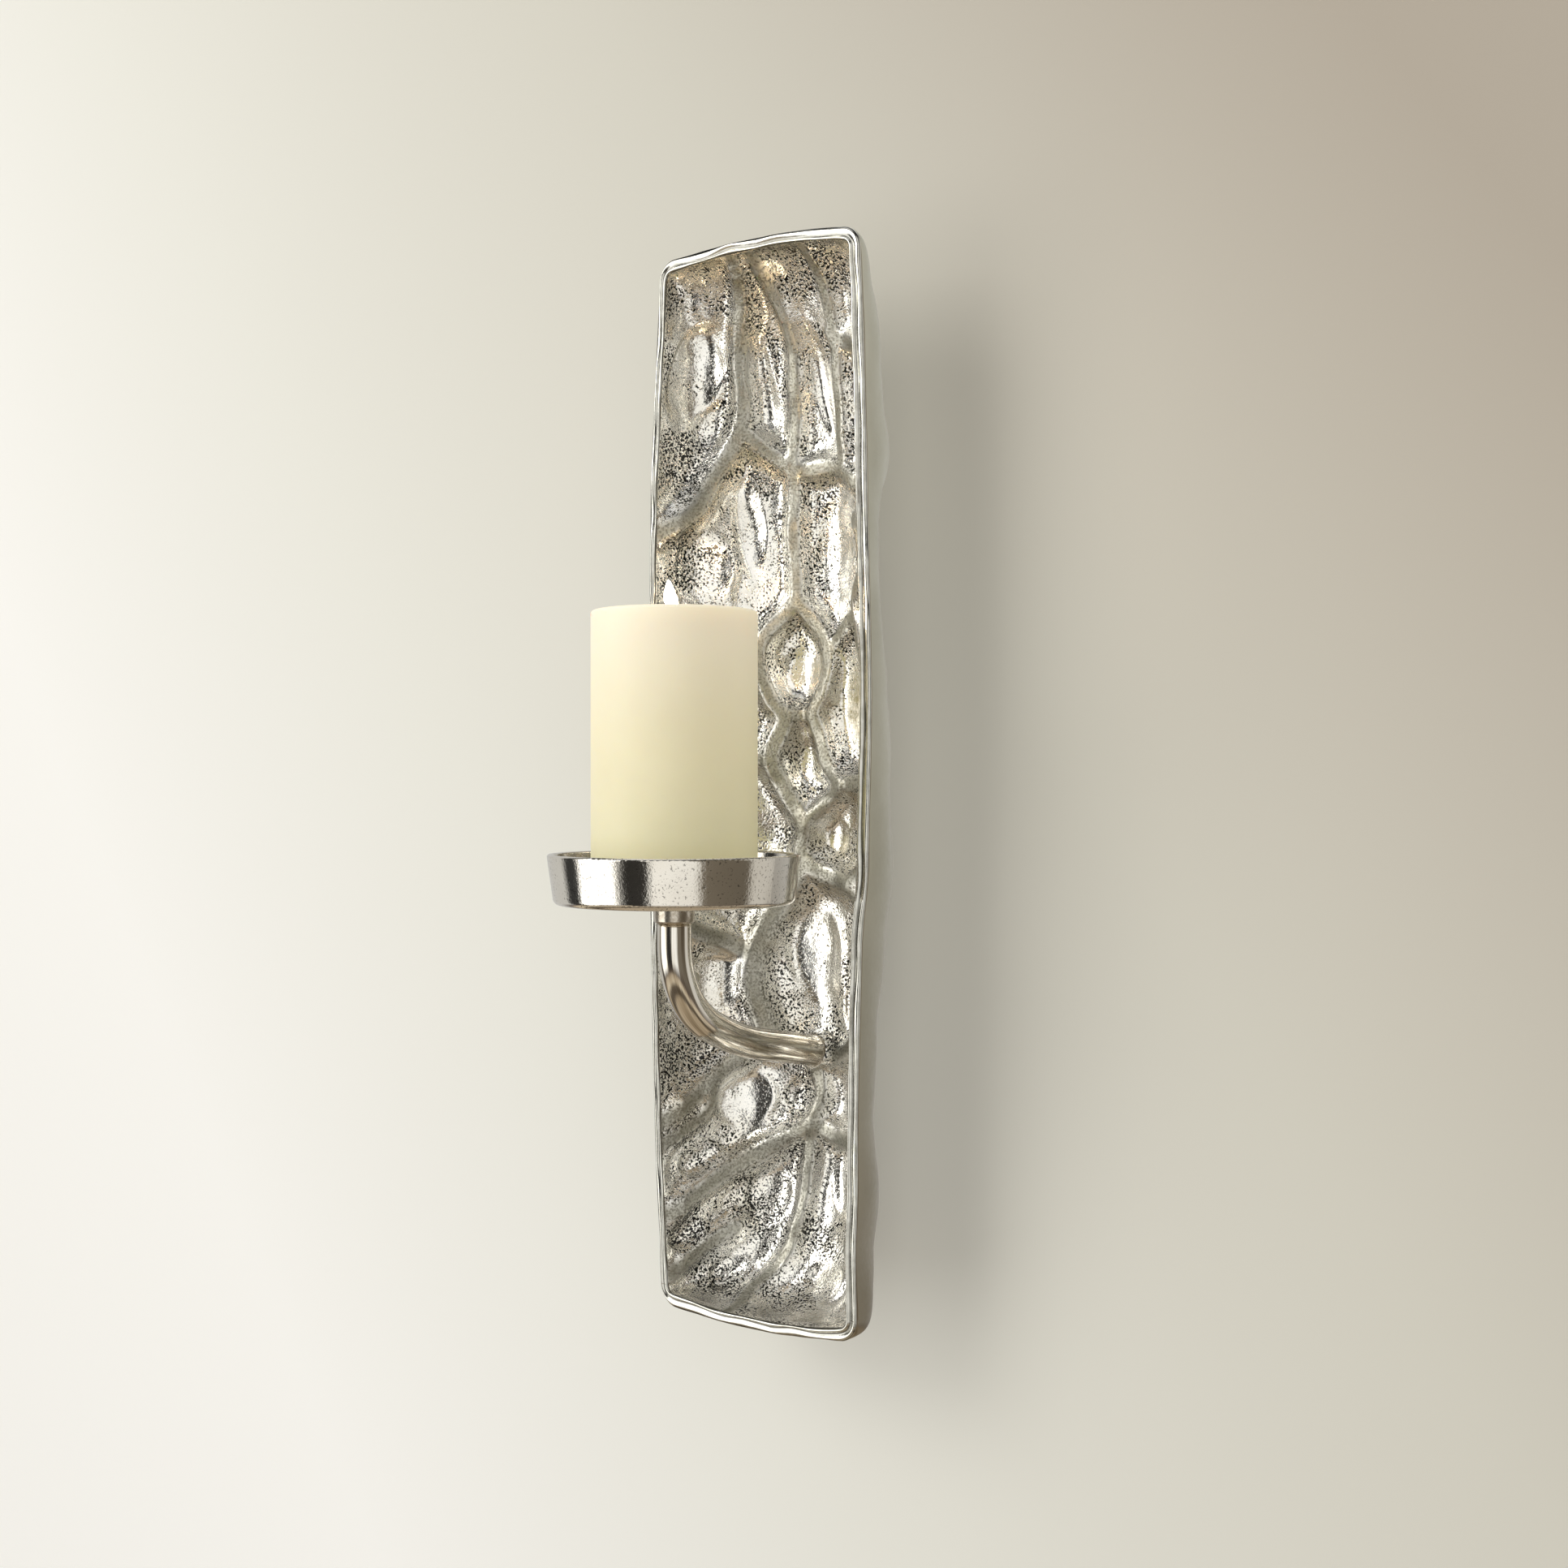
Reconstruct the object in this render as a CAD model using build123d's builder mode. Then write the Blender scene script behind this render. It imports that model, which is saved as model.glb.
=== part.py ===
"""Wall sconce candle holder: a tall cast trough on a hanger plate, a bent arm, a cup and a pillar candle.

Millimetres. +Z is up, +X is to the right of someone facing the wall, +Y goes into the wall.
The origin is on the wall, at the centre of the hanger plate's back face.
"""
import os
from math import cos, radians, sin, sqrt, tan

from build123d import *

# ---- Driving dimensions -------------------------------------------------------------------------
# Cast trough
trough_height = 526.0        # crown of the top edge to crown of the bottom edge
trough_end_width = 121.0     # across the corners of the rim
trough_mid_width = 135.0     # across the rim at half height
trough_depth = 64.0          # rim plane to the flat of the back
trough_wall = 5.5
back_flat_width = 29.5       # flat strip along the back, at half height
edge_bow = 6.0               # how far the top and bottom edges crown above their corners
corner_radius = 9.0          # corner of the rim's outline
top_rake = 110.0             # how far the back leans away from the top edge
bottom_rake = 60.0           # the same at the bottom edge
rim_round = 2.4              # rounding of the rim's outer edge

# Hanging hardware
plate_width = 28.0
plate_length = 230.0
plate_thickness = 2.5
standoff_height = 6.0        # cast pads between the trough's back and the plate
standoff_diameter = 14.0
plate_hole_outer_z = 103.0   # the outer pair of plate screws
plate_hole_inner_z = 20.0    # the inner pair
keyhole_z = 55.0             # entry circle of each keyhole, above and below the centre
keyhole_entry_diameter = 10.0
keyhole_slot_width = 5.0
keyhole_travel = 13.0
bumper_diameter = 16.0
bumper_top_z = 140.0
bumper_bottom_z = -180.0
bumper_recess_depth = 4.0

# Arm
arm_diameter = 15.6
arm_wall = 2.0
arm_straight = 9.0           # straight run below the collar
arm_bend_radius = 45.0       # tight bend below the cup
arm_bend_angle = 64.0
arm_sweep_radius = 160.0     # slow bend towards the trough
arm_sweep_angle = 16.0
foot_inset = 46.0            # rim plane to the arm's foot
foot_ring_length = 2.2
foot_ring_proud = 0.3
foot_plug_length = 14.0
top_plug_gap = 0.5           # top plug's end to the start of the bend
seat_core_diameter = 18.0
seat_lobe_diameter = 9.0
seat_lobe_circle = 17.0
seat_lobe_count = 5
seat_pin_diameter = 2.0
seat_pin_length = 9.0

# Cup
cup_top_diameter = 115.8
cup_bottom_diameter = 109.4
cup_height = 22.8
cup_wall = 2.4
cup_floor = 3.2
cup_rim_gap = 3.5            # cup to the plane of the trough's rim
cup_bottom_z = -54.6
collar_diameter = 18.8
collar_height = 7.2

# Candle
candle_diameter = 76.0
candle_height = 130.0
wick_diameter = 2.2
wick_stick_out = 9.0
wick_foot_gap = 5.0          # the wick stops this far above the candle's foot

# Fasteners
plate_screw_diameter = 4.0
plate_screw_length = 10.0
plate_screw_head = 8.0
bumper_screw_diameter = 3.0
bumper_screw_length = 8.0
bumper_screw_head = 6.0
arm_screw_diameter = 6.0
arm_screw_reach = 10.0       # into the foot plug
arm_screw_head = 10.5
arm_screw_head_height = 3.3
cup_screw_diameter = 5.0
cup_screw_gap = 1.0          # screw's end to the top plug's end
cup_screw_head = 9.4
washer_thickness = 1.2
lock_washer_thickness = 1.4
lock_washer_split = 1.2
thread_clearance = 0.05      # radial, screw to its hole
slip_clearance = 0.25        # radial, screw through a plain hole

# ---- Places worked out from the sizes -------------------------------------------------------------
back_y = -(plate_thickness + standoff_height)
rim_y = back_y - trough_depth
cup_axis_y = rim_y - cup_rim_gap - cup_top_diameter / 2
collar_top_z = cup_bottom_z - lock_washer_thickness
arm_top_z = collar_top_z - collar_height
candle_foot_z = cup_bottom_z + cup_floor
top_plug_length = arm_straight - top_plug_gap
bore_radius = arm_diameter / 2 - arm_wall
# The pin stands midway between the foot plug's thread and its outside.
seat_pin_offset = (arm_screw_diameter / 2 + bore_radius) / 2
# The section is part of an ellipse that is cut flat at the back. This is the whole ellipse's depth.
section_depth = trough_depth / sqrt(1 - (back_flat_width / trough_mid_width) ** 2)

top_rake_power = 2.2
bottom_rake_power = 3.5
hull_shares = (0.0, 0.25, 0.5, 0.72, 0.88, 1.0)

os.makedirs("parts", exist_ok=True)


def hull_plane(depth):
    """Plane across the trough, parallel to its rim, with the sketch's up along +Z."""
    return Plane(origin=(0, rim_y + depth, 0), x_dir=(1, 0, 0), z_dir=(0, -1, 0))


def hull_sketch(depth, inset):
    """Outline of the trough at one depth behind the rim, moved in by inset."""
    share = depth / (section_depth - inset)
    narrowing = sqrt(1 - share ** 2)
    mid_x = (trough_mid_width / 2 - inset) * narrowing
    end_x = (trough_end_width / 2 - inset) * narrowing
    crown = edge_bow * narrowing
    top_z = trough_height / 2 - inset - top_rake * share ** top_rake_power
    bottom_z = inset + bottom_rake * share ** bottom_rake_power - trough_height / 2
    middle_z = (top_z + bottom_z) / 2
    corner = min(max(corner_radius - inset, 3.0) + 0.5 * depth, 0.75 * end_x)
    with BuildSketch(hull_plane(depth)) as outline:
        with BuildLine():
            ThreePointArc((-end_x, top_z - crown), (0, top_z), (end_x, top_z - crown))
            ThreePointArc((end_x, top_z - crown), (mid_x, middle_z), (end_x, bottom_z + crown))
            ThreePointArc((end_x, bottom_z + crown), (0, bottom_z), (-end_x, bottom_z + crown))
            ThreePointArc((-end_x, bottom_z + crown), (-mid_x, middle_z), (-end_x, top_z - crown))
        make_face()
        fillet(outline.vertices(), corner)
    return outline.sketch


# ---- Arm route, needed by the trough's screw hole ---------------------------------------------------
with BuildLine(Plane.YZ) as arm_path:
    drop = Line((cup_axis_y, arm_top_z), (cup_axis_y, arm_top_z - arm_straight))
    bend = JernArc(drop @ 1, drop % 1, arm_bend_radius, arm_bend_angle)
    slow_bend = JernArc(bend @ 1, bend % 1, arm_sweep_radius, arm_sweep_angle)
    slope_angle = 90 - arm_bend_angle - arm_sweep_angle
    run_length = (rim_y + foot_inset - foot_ring_length - (slow_bend @ 1).Y) / cos(radians(slope_angle))
    run = Line(slow_bend @ 1, slow_bend @ 1 + (slow_bend % 1) * run_length)

arm_end = run @ 1
arm_direction = run % 1
foot_point = arm_end + arm_direction * foot_ring_length
foot_plane = Plane(origin=foot_point, x_dir=(1, 0, 0), z_dir=arm_direction)

# Along the arm's axis: foot to the back of the trough, then in by the tilt of a washer's face.
foot_to_back = (back_y - foot_point.Y) / arm_direction.Y
spot_face_radius = arm_screw_head / 2 + 1.5
spot_face_distance = foot_to_back - spot_face_radius * tan(radians(slope_angle)) - 0.2

# ---- Cast trough ------------------------------------------------------------------------------------
with BuildPart() as cavity:
    for share in hull_shares:
        add(hull_sketch(share * (trough_depth - trough_wall), trough_wall))
    loft()

with BuildPart() as trough:
    for share in hull_shares:
        add(hull_sketch(share * trough_depth, 0.0))
    loft()
    add(cavity.part, mode=Mode.SUBTRACT)
    rim_face = trough.faces().filter_by(Axis.Y).sort_by(Axis.Y)[0]
    fillet(rim_face.outer_wire().edges(), rim_round)
    plate_screw_places = [(0, z) for z in (plate_hole_outer_z, plate_hole_inner_z,
                                           -plate_hole_inner_z, -plate_hole_outer_z)]
    pad_plane = Plane(origin=(0, back_y, 0), x_dir=(-1, 0, 0), z_dir=(0, 1, 0))
    with BuildSketch(pad_plane):
        with Locations(*plate_screw_places):
            Circle(standoff_diameter / 2)
    extrude(amount=standoff_height)
    # Tapped blind holes for the plate screws, open at the pads.
    with BuildSketch(pad_plane.offset(standoff_height)):
        with Locations(*plate_screw_places):
            Circle(plate_screw_diameter / 2 + thread_clearance)
    extrude(amount=-(plate_screw_length - plate_thickness + 0.5), mode=Mode.SUBTRACT)
    # Tapped blind holes for the bumper screws.
    with BuildSketch(pad_plane):
        with Locations((0, bumper_top_z), (0, bumper_bottom_z)):
            Circle(bumper_screw_diameter / 2 + thread_clearance)
    extrude(amount=-(trough_wall - 1.5), mode=Mode.SUBTRACT)
    # Way through for the arm screw, and a spot face square to it.
    with BuildSketch(foot_plane):
        Circle(arm_screw_diameter / 2 + slip_clearance)
    extrude(amount=foot_to_back + 10, mode=Mode.SUBTRACT)
    with BuildSketch(foot_plane.offset(spot_face_distance)):
        Circle(spot_face_radius)
    extrude(amount=10, mode=Mode.SUBTRACT)
trough.part.label = "trough"

# ---- Hanger plate, its screws and the bumpers ---------------------------------------------------------
wall_plane = Plane(origin=(0, 0, 0), x_dir=(-1, 0, 0), z_dir=(0, 1, 0))

with BuildPart() as hanger_plate:
    with BuildSketch(wall_plane):
        RectangleRounded(plate_width, plate_length, 4.0)
        for entry_z in (keyhole_z, -keyhole_z):
            with Locations((0, entry_z)):
                Circle(keyhole_entry_diameter / 2, mode=Mode.SUBTRACT)
            with Locations((0, entry_z + keyhole_travel / 2)):
                SlotCenterToCenter(keyhole_travel, keyhole_slot_width, rotation=90, mode=Mode.SUBTRACT)
    extrude(amount=-plate_thickness)
    with Locations(wall_plane):
        with Locations(*[(0, z, 0) for _, z in plate_screw_places]):
            CounterSinkHole(plate_screw_diameter / 2 + slip_clearance,
                            plate_screw_head / 2 + thread_clearance, counter_sink_angle=90)
hanger_plate.part.label = "hanger_plate"

with BuildPart() as hanger_screws:
    for _, z in plate_screw_places:
        screw_plane = Plane(origin=(0, 0, z), x_dir=(1, 0, 0), z_dir=(0, 0, 1))
        with BuildSketch(screw_plane):
            with BuildLine():
                head_height = (plate_screw_head - plate_screw_diameter) / 2
                Polyline((0, 0), (plate_screw_head / 2, 0), (plate_screw_diameter / 2, -head_height),
                         (plate_screw_diameter / 2, -plate_screw_length), (0, -plate_screw_length),
                         close=True)
            make_face()
        revolve(axis=Axis((0, 0, z), (0, 1, 0)))
hanger_screws.part.label = "hanger_screws"

bumper_height = -back_y
bumper_planes = [Plane(origin=(0, back_y, z), x_dir=(-1, 0, 0), z_dir=(0, 1, 0))
                 for z in (bumper_top_z, bumper_bottom_z)]

with BuildPart() as wall_bumpers:
    for base in bumper_planes:
        with BuildSketch(base):
            Circle(bumper_diameter / 2)
        extrude(amount=bumper_height, taper=5)
        with BuildSketch(base):
            Circle(bumper_screw_diameter / 2 + thread_clearance)
        extrude(amount=bumper_height, mode=Mode.SUBTRACT)
        with BuildSketch(base.offset(bumper_height)):
            Circle(bumper_screw_head / 2 + slip_clearance)
        extrude(amount=-bumper_recess_depth, mode=Mode.SUBTRACT)
wall_bumpers.part.label = "wall_bumpers"

with BuildPart() as bumper_screws:
    for base in bumper_planes:
        seat = base.offset(bumper_height - bumper_recess_depth)
        with BuildSketch(seat):
            Circle(bumper_screw_head / 2)
        extrude(amount=2.0)
        with BuildSketch(seat):
            Circle(bumper_screw_diameter / 2)
        extrude(amount=-(bumper_screw_length - 0.2))
bumper_screws.part.label = "bumper_screws"

# ---- Arm and its seat -----------------------------------------------------------------------------------
with BuildPart() as arm_seat:
    with BuildSketch(foot_plane):
        Circle(seat_core_diameter / 2)
        with PolarLocations(seat_lobe_circle / 2, seat_lobe_count, start_angle=20):
            Circle(seat_lobe_diameter / 2)
        Circle(arm_screw_diameter / 2 + slip_clearance, mode=Mode.SUBTRACT)
    extrude(amount=foot_to_back)
    add(cavity.part, mode=Mode.INTERSECT)
    with BuildSketch(foot_plane):
        with Locations((0, seat_pin_offset)):
            Circle(seat_pin_diameter / 2 + thread_clearance)
    extrude(amount=seat_pin_length / 2, mode=Mode.SUBTRACT)
arm_seat.part.label = "arm_seat"

with BuildPart() as arm_tube:
    add(arm_path.line)
    with BuildSketch(Plane(origin=(0, cup_axis_y, arm_top_z), x_dir=(1, 0, 0), z_dir=(0, 0, -1))):
        Circle(arm_diameter / 2)
        Circle(bore_radius, mode=Mode.SUBTRACT)
    sweep()
arm_tube.part.label = "arm_tube"

with BuildPart() as arm_foot_ring:
    with BuildSketch(foot_plane):
        Circle(arm_diameter / 2 + foot_ring_proud)
        Circle(bore_radius, mode=Mode.SUBTRACT)
    extrude(amount=-foot_ring_length)
    ring_edges = arm_foot_ring.edges().filter_by(GeomType.CIRCLE)
    fillet(ring_edges.group_by(SortBy.RADIUS)[-1], 0.9)
arm_foot_ring.part.label = "arm_foot_ring"

with BuildPart() as arm_foot_plug:
    with BuildSketch(foot_plane):
        Circle(bore_radius - thread_clearance)
        Circle(arm_screw_diameter / 2 + thread_clearance, mode=Mode.SUBTRACT)
        with Locations((0, seat_pin_offset)):
            Circle(seat_pin_diameter / 2 + thread_clearance, mode=Mode.SUBTRACT)
    extrude(amount=-foot_plug_length)
arm_foot_plug.part.label = "arm_foot_plug"

with BuildPart() as seat_pin:
    with BuildSketch(foot_plane.offset(-seat_pin_length / 2)):
        with Locations((0, seat_pin_offset)):
            Circle(seat_pin_diameter / 2)
    extrude(amount=seat_pin_length)
seat_pin.part.label = "seat_pin"

with BuildPart() as arm_top_plug:
    with BuildSketch(Plane.XY.offset(arm_top_z)):
        with Locations((0, cup_axis_y)):
            Circle(bore_radius - thread_clearance)
            Circle(cup_screw_diameter / 2 + thread_clearance, mode=Mode.SUBTRACT)
    extrude(amount=-top_plug_length)
arm_top_plug.part.label = "arm_top_plug"

with BuildPart() as arm_flat_washer:
    with BuildSketch(foot_plane.offset(spot_face_distance)):
        Circle(arm_screw_head / 2 + 1.0)
        Circle(arm_screw_diameter / 2 + slip_clearance, mode=Mode.SUBTRACT)
    extrude(amount=washer_thickness)
arm_flat_washer.part.label = "arm_flat_washer"

with BuildPart() as arm_lock_washer:
    with BuildSketch(foot_plane.offset(spot_face_distance + washer_thickness)):
        Circle(arm_screw_head / 2 - 0.2)
        Circle(arm_screw_diameter / 2 + slip_clearance, mode=Mode.SUBTRACT)
        with Locations((arm_screw_head / 2, 0)):
            Rectangle(arm_screw_head, lock_washer_split, mode=Mode.SUBTRACT)
    extrude(amount=lock_washer_thickness)
arm_lock_washer.part.label = "arm_lock_washer"

with BuildPart() as arm_screw:
    head_seat = spot_face_distance + washer_thickness + lock_washer_thickness
    with BuildSketch(foot_plane.offset(head_seat)):
        Circle(arm_screw_head / 2)
    extrude(amount=arm_screw_head_height)
    with BuildSketch(foot_plane.offset(head_seat)):
        Circle(arm_screw_diameter / 2)
    extrude(amount=-(head_seat + arm_screw_reach))
    fillet(arm_screw.faces().sort_by(Axis.Y)[-1].edges(), 1.2)
    with BuildSketch(foot_plane.offset(head_seat + arm_screw_head_height)):
        RegularPolygon(2.3, 6)
    extrude(amount=-2.0, mode=Mode.SUBTRACT)
arm_screw.part.label = "arm_screw"

# ---- Cup ------------------------------------------------------------------------------------------------
with BuildPart() as cup_collar:
    with BuildSketch(Plane.XY.offset(arm_top_z)):
        with Locations((0, cup_axis_y)):
            Circle(collar_diameter / 2)
            Circle(cup_screw_diameter / 2 + slip_clearance, mode=Mode.SUBTRACT)
    extrude(amount=collar_height)
    collar_edges = cup_collar.edges().filter_by(GeomType.CIRCLE)
    fillet(collar_edges.group_by(SortBy.RADIUS)[-1], 1.0)
cup_collar.part.label = "cup_collar"

with BuildPart() as cup_lock_washer:
    with BuildSketch(Plane.XY.offset(collar_top_z)):
        with Locations((0, cup_axis_y)):
            Circle(collar_diameter / 2 - 3.0)
            Circle(cup_screw_diameter / 2 + slip_clearance, mode=Mode.SUBTRACT)
        with Locations((collar_diameter / 4, cup_axis_y)):
            Rectangle(collar_diameter / 2, lock_washer_split, mode=Mode.SUBTRACT)
    extrude(amount=lock_washer_thickness)
cup_lock_washer.part.label = "cup_lock_washer"

cup_axis = Axis((0, cup_axis_y, 0), (0, 0, 1))
cup_section = Plane(origin=(0, cup_axis_y, cup_bottom_z), x_dir=(1, 0, 0), z_dir=(0, -1, 0))
cup_foot_round = 3.0

with BuildPart() as cup:
    with BuildSketch(cup_section):
        with BuildLine():
            Polyline((0, 0), (cup_bottom_diameter / 2, 0), (cup_top_diameter / 2, cup_height),
                     (cup_top_diameter / 2 - cup_wall, cup_height),
                     (cup_bottom_diameter / 2 - cup_wall, cup_floor), (0, cup_floor), close=True)
        make_face()
    revolve(axis=cup_axis)
    cup_circles = cup.edges().filter_by(GeomType.CIRCLE)
    fillet(cup_circles.group_by(Axis.Z)[-1], cup_wall * 0.45)
    fillet(cup_circles.group_by(Axis.Z)[0].group_by(SortBy.RADIUS)[-1], cup_foot_round)
    with Locations((0, cup_axis_y, candle_foot_z)):
        CounterSinkHole(cup_screw_diameter / 2 + slip_clearance,
                        cup_screw_head / 2 + thread_clearance, counter_sink_angle=90)
cup.part.label = "cup"

with BuildPart() as cup_screw:
    head_height = (cup_screw_head - cup_screw_diameter) / 2
    screw_end = -(candle_foot_z - arm_top_z + top_plug_length - cup_screw_gap)
    screw_section = Plane(origin=(0, cup_axis_y, candle_foot_z), x_dir=(1, 0, 0), z_dir=(0, -1, 0))
    with BuildSketch(screw_section):
        with BuildLine():
            Polyline((0, 0), (cup_screw_head / 2, 0), (cup_screw_diameter / 2, -head_height),
                     (cup_screw_diameter / 2, screw_end), (0, screw_end), close=True)
        make_face()
    revolve(axis=cup_axis)
cup_screw.part.label = "cup_screw"

# ---- Candle -----------------------------------------------------------------------------------------------
with BuildPart() as candle:
    with BuildSketch(Plane.XY.offset(candle_foot_z)):
        with Locations((0, cup_axis_y)):
            Circle(candle_diameter / 2)
    extrude(amount=candle_height)
    fillet(candle.edges().group_by(Axis.Z)[-1], 1.5)
    with BuildSketch(Plane.XY.offset(candle_foot_z + candle_height)):
        with Locations((0, cup_axis_y)):
            Circle(wick_diameter / 2 + thread_clearance)
    extrude(amount=-(candle_height - wick_foot_gap), mode=Mode.SUBTRACT)
candle.part.label = "candle"

with BuildPart() as wick:
    with BuildSketch(Plane.XY.offset(candle_foot_z + wick_foot_gap)):
        with Locations((0, cup_axis_y)):
            Circle(wick_diameter / 2)
    extrude(amount=candle_height - wick_foot_gap + wick_stick_out)
wick.part.label = "wick"

# ---- One STEP file for each piece ---------------------------------------------------------------------------
export_step(trough.part, "parts/trough.step")
export_step(hanger_plate.part, "parts/hanger_plate.step")
export_step(hanger_screws.part, "parts/hanger_screws.step")
export_step(wall_bumpers.part, "parts/wall_bumpers.step")
export_step(bumper_screws.part, "parts/bumper_screws.step")
export_step(arm_seat.part, "parts/arm_seat.step")
export_step(seat_pin.part, "parts/seat_pin.step")
export_step(arm_tube.part, "parts/arm_tube.step")
export_step(arm_foot_ring.part, "parts/arm_foot_ring.step")
export_step(arm_foot_plug.part, "parts/arm_foot_plug.step")
export_step(arm_top_plug.part, "parts/arm_top_plug.step")
export_step(arm_flat_washer.part, "parts/arm_flat_washer.step")
export_step(arm_lock_washer.part, "parts/arm_lock_washer.step")
export_step(arm_screw.part, "parts/arm_screw.step")
export_step(cup_collar.part, "parts/cup_collar.step")
export_step(cup_lock_washer.part, "parts/cup_lock_washer.step")
export_step(cup.part, "parts/cup.step")
export_step(cup_screw.part, "parts/cup_screw.step")
export_step(candle.part, "parts/candle.step")
export_step(wick.part, "parts/wick.step")
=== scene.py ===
"""Wall sconce candle holder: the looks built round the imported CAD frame. Metres, +Y into the wall."""
import math

import bpy
import numpy as np
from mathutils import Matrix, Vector


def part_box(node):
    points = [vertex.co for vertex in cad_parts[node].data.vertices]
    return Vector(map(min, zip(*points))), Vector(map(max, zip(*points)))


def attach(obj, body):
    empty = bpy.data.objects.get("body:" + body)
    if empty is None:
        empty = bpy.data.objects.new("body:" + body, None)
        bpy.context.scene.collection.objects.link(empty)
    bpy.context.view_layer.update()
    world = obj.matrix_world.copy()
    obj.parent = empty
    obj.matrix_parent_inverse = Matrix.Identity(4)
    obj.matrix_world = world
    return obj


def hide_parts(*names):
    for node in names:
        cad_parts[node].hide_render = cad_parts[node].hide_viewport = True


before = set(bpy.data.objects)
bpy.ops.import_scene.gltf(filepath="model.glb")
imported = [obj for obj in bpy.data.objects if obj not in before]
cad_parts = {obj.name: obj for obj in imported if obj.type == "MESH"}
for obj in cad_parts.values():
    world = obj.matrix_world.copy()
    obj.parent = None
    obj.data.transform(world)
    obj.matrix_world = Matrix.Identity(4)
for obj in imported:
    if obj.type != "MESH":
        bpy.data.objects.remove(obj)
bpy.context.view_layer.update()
MM = 0.001

# ---- Places taken from the frame ----------------------------------------------------------------
trough_low, trough_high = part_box("trough")
cup_low, cup_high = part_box("cup")
candle_low, candle_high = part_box("candle")
flame_height = 0.0146
arm_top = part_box("arm_tube")[1].z

# Trough sizes in millimetres, the same as the casting's.
wall = 5.5
half_height = (trough_high.z - trough_low.z) / 2 / MM
mid_half_width = (trough_high.x - trough_low.x) / 2 / MM
end_half_width = mid_half_width - 7.0
rim_y = trough_low.y / MM
trough_depth = 64.0
edge_bow = 6.0
top_rake = 110.0
bottom_rake = 60.0
flank = 95.0                 # developed width from the middle of the back to the rim

cup_x = (cup_low.x + cup_high.x) / 2
cup_y = (cup_low.y + cup_high.y) / 2


# ---- Node helpers -------------------------------------------------------------------------------
def new_material(name):
    """A material with a Principled shader; returns it, its node tree and the shader."""
    mat = bpy.data.materials.new(name)
    mat.use_nodes = True
    tree = mat.node_tree
    return mat, tree, tree.nodes["Principled BSDF"]


def node(tree, kind, inputs=(), **settings):
    """Adds a node, sets its properties, and links or sets its inputs by name or number."""
    made = tree.nodes.new(kind)
    for key, value in settings.items():
        setattr(made, key, value)
    for key, value in dict(inputs).items():
        if isinstance(value, bpy.types.NodeSocket):
            tree.links.new(value, made.inputs[key])
        else:
            made.inputs[key].default_value = value
    return made


def maths(tree, operation, a, b=0.0, c=0.0):
    return node(tree, "ShaderNodeMath", {0: a, 1: b, 2: c}, operation=operation).outputs[0]


def ramp(tree, factor, stops, interpolation="LINEAR"):
    """Colour ramp: stops are (position, colour), a colour being a grey value or (r, g, b)."""
    made = node(tree, "ShaderNodeValToRGB", {0: factor})
    made.color_ramp.interpolation = interpolation
    while len(made.color_ramp.elements) < len(stops):
        made.color_ramp.elements.new(0.5)
    for element, (position, colour) in zip(made.color_ramp.elements, stops):
        rgb = (colour,) * 3 if isinstance(colour, (int, float)) else colour
        element.position = position
        element.color = (*rgb, 1.0)
    return made.outputs[0]


def noise(tree, place, scale, detail=2.0, roughness=0.5):
    made = node(tree, "ShaderNodeTexNoise", {"Vector": place, "Scale": scale, "Detail": detail,
                                             "Roughness": roughness})
    return made.outputs[0]


def share_between(tree, value, low, high):
    """0 where the value is at low, 1 where it is at high."""
    return node(tree, "ShaderNodeMapRange", {"Value": value, "From Min": low, "From Max": high}).outputs[0]


def object_place(tree):
    return node(tree, "ShaderNodeTexCoord").outputs["Object"]


def mix_colour(tree, factor, a, b):
    made = tree.nodes.new("ShaderNodeMix")
    made.data_type = "RGBA"
    for key, value in ((0, factor), (6, a), (7, b)):
        if isinstance(value, bpy.types.NodeSocket):
            tree.links.new(value, made.inputs[key])
        elif key == 0:
            made.inputs[0].default_value = value
        else:
            made.inputs[key].default_value = (*value, 1.0)
    return made.outputs[2]


def multiply_colour(tree, a, b):
    made = node(tree, "ShaderNodeMix", data_type="RGBA", blend_type="MULTIPLY")
    made.inputs[0].default_value = 1.0
    tree.links.new(a, made.inputs[6])
    tree.links.new(b, made.inputs[7])
    return made.outputs[2]


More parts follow.
